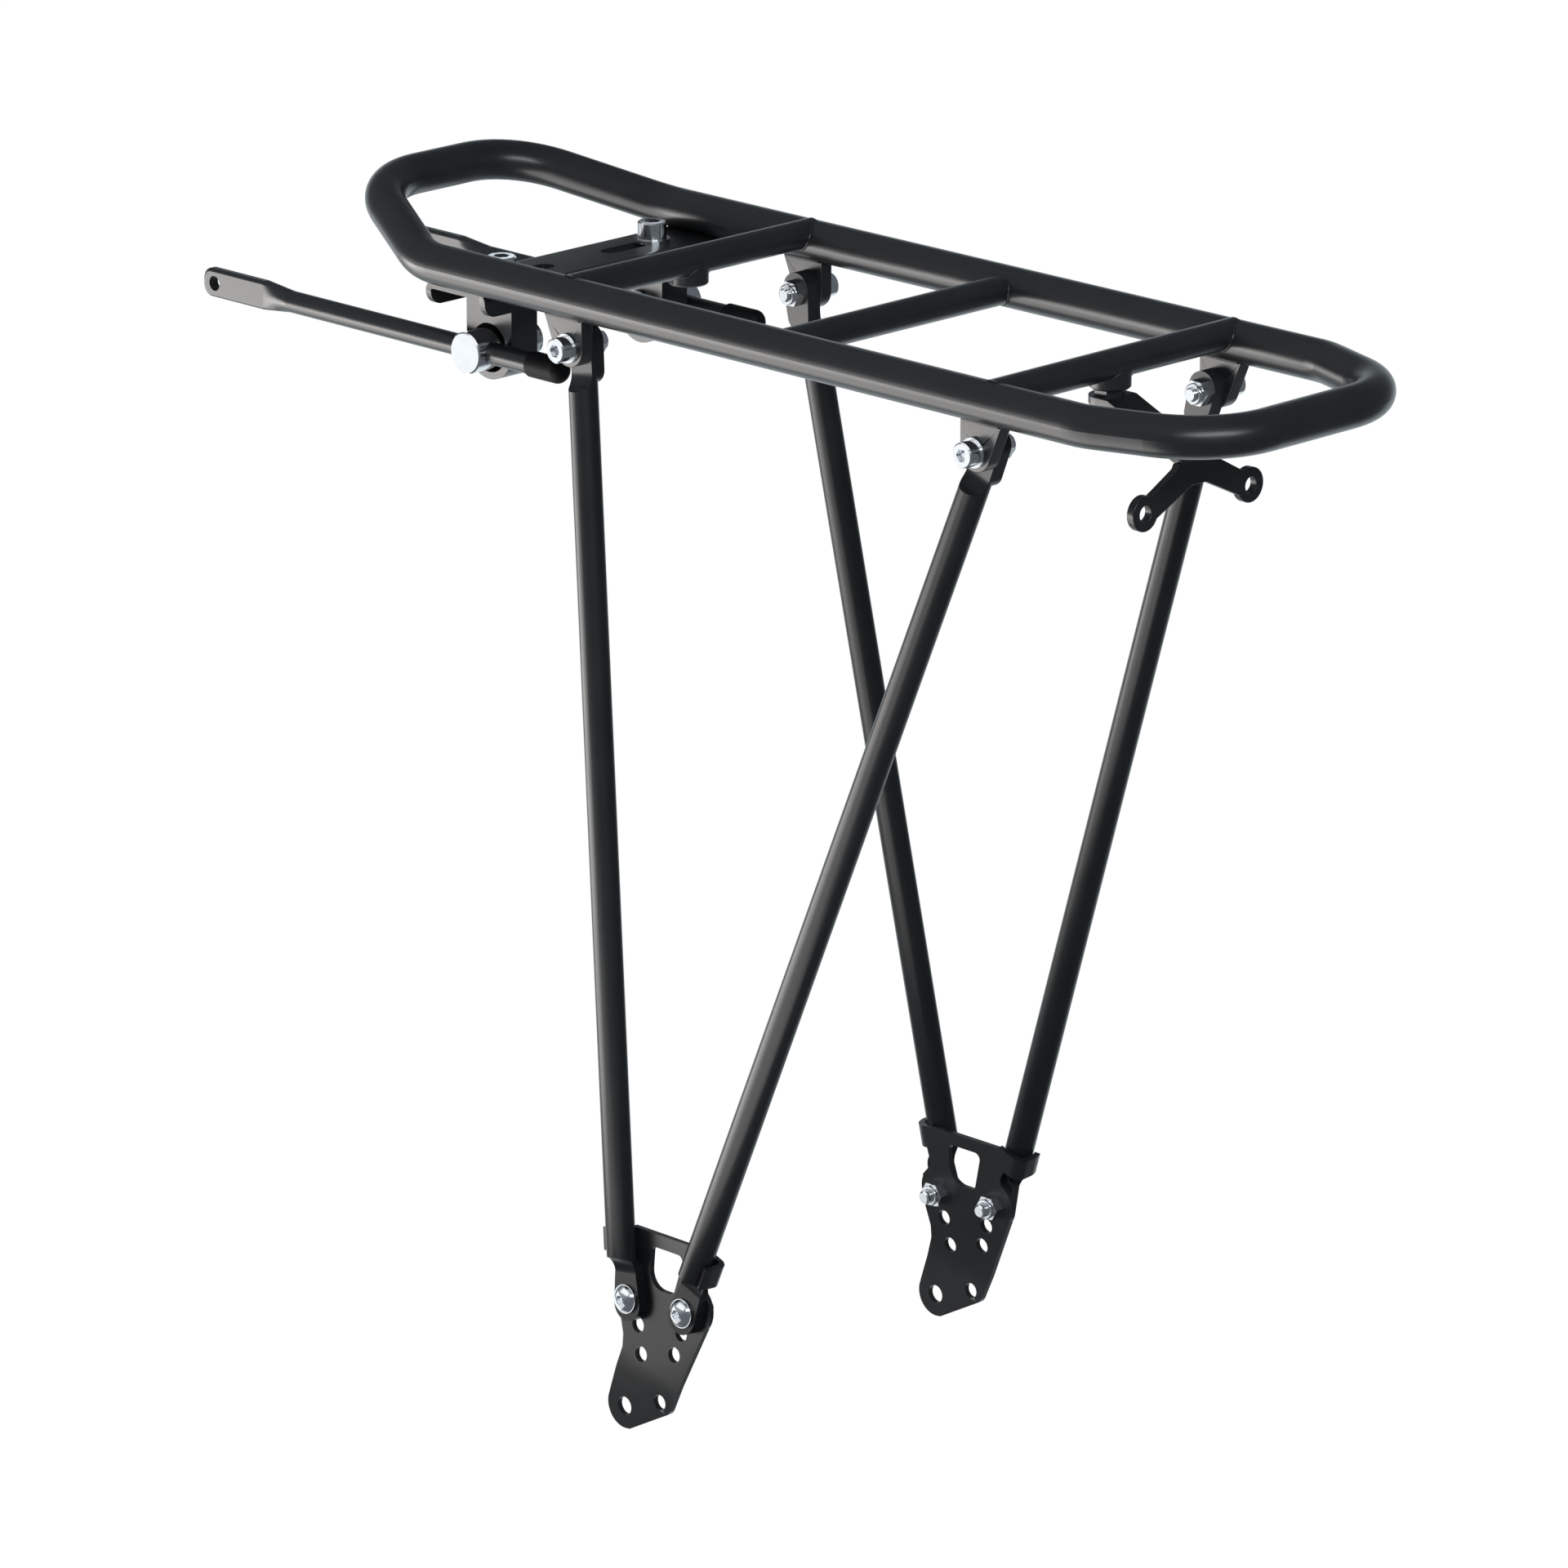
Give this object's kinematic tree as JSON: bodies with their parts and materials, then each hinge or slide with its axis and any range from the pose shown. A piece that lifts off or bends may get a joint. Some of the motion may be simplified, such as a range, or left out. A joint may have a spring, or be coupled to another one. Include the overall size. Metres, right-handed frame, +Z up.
{
  "type": "bicycle rear rack",
  "caption": "Black bicycle luggage rack: bent-tube platform on four splayed legs with foot plates, two clamped sliding stays and a rear light bracket.",
  "frame": {"origin": "midway between the two dropout eyelets, on their common axis", "axes": "+X to the back of the bicycle, +Y to its right, +Z up"},
  "size_m": [0.4765, 0.1674, 0.4042],
  "materials": {
    "black_aluminium": "satin black powder coat",
    "black_steel": "satin black powder coat",
    "bright_steel": "bright plated steel",
    "dark_fastener": "satin black",
    "rubber": "matt black"
  },
  "bodies": {
    "rack": {"top_ring": "black_aluminium", "cross_tube_front": "black_aluminium", "cross_tube_middle": "black_aluminium", "cross_tube_rear": "black_aluminium", "stay_channel": "black_aluminium", "boss_front": "black_aluminium", "boss_rear": "black_aluminium", "leg_tab_front_left": "black_aluminium", "leg_tab_front_right": "black_aluminium", "leg_tab_rear_left": "black_aluminium", "leg_tab_rear_right": "black_aluminium", "leg_front_left": "black_aluminium", "leg_front_right": "black_aluminium", "leg_rear_left": "black_aluminium", "leg_rear_right": "black_aluminium", "foot_plate_left": "black_steel", "foot_plate_right": "black_steel", "leg_screws": "bright_steel", "leg_screw_washers": "bright_steel", "leg_nuts": "bright_steel", "foot_screws": "bright_steel", "foot_screw_washers": "bright_steel", "foot_nuts": "bright_steel", "light_bracket_spacer_nut": "dark_fastener"},
    "bracket_left": {"stay_bracket_left": "black_steel", "bracket_screw_left": "bright_steel", "bracket_washer_left": "bright_steel"},
    "clamp_left": {"clamp_bolt_left": "bright_steel", "clamp_washer_left": "bright_steel", "clamp_nut_left": "bright_steel"},
    "stay_left": {"stay_left": "black_steel", "stay_end_cap_left": "rubber"},
    "bracket_right": {"stay_bracket_right": "black_steel", "bracket_screw_right": "bright_steel", "bracket_washer_right": "bright_steel"},
    "clamp_right": {"clamp_bolt_right": "bright_steel", "clamp_washer_right": "bright_steel", "clamp_nut_right": "bright_steel"},
    "stay_right": {"stay_right": "black_steel", "stay_end_cap_right": "rubber"},
    "light_arm": {"light_bracket": "black_steel", "light_bracket_screw": "dark_fastener"}
  },
  "joints": [
    {"name": "bracket_slide_left", "type": "slide", "parent": "rack", "child": "bracket_left", "axis": [0, -1, 0], "range_m": [-0.018, 0.0025]},
    {"name": "stay_swivel_left", "type": "hinge", "parent": "bracket_left", "child": "clamp_left", "pos_m": [-0.1005, -0.0355, 0.3452], "axis": [0, 1, 0], "range_deg": [-20, 20]},
    {"name": "stay_slide_left", "type": "slide", "parent": "clamp_left", "child": "stay_left", "axis": [1, 0, 0], "range_m": [-0.012, 0.005]},
    {"name": "bracket_slide_right", "type": "slide", "parent": "rack", "child": "bracket_right", "axis": [0, 1, 0], "range_m": [-0.018, 0.0025]},
    {"name": "stay_swivel_right", "type": "hinge", "parent": "bracket_right", "child": "clamp_right", "pos_m": [-0.1005, 0.0355, 0.3452], "axis": [0, 1, 0], "range_deg": [-20, 20]},
    {"name": "stay_slide_right", "type": "slide", "parent": "clamp_right", "child": "stay_right", "axis": [1, 0, 0], "range_m": [-0.012, 0.005]},
    {"name": "light_bracket_swivel", "type": "hinge", "parent": "rack", "child": "light_arm", "pos_m": [0.1463, 0, 0.3676], "axis": [0, 0, 1], "range_deg": [-30, 30]}
  ]
}
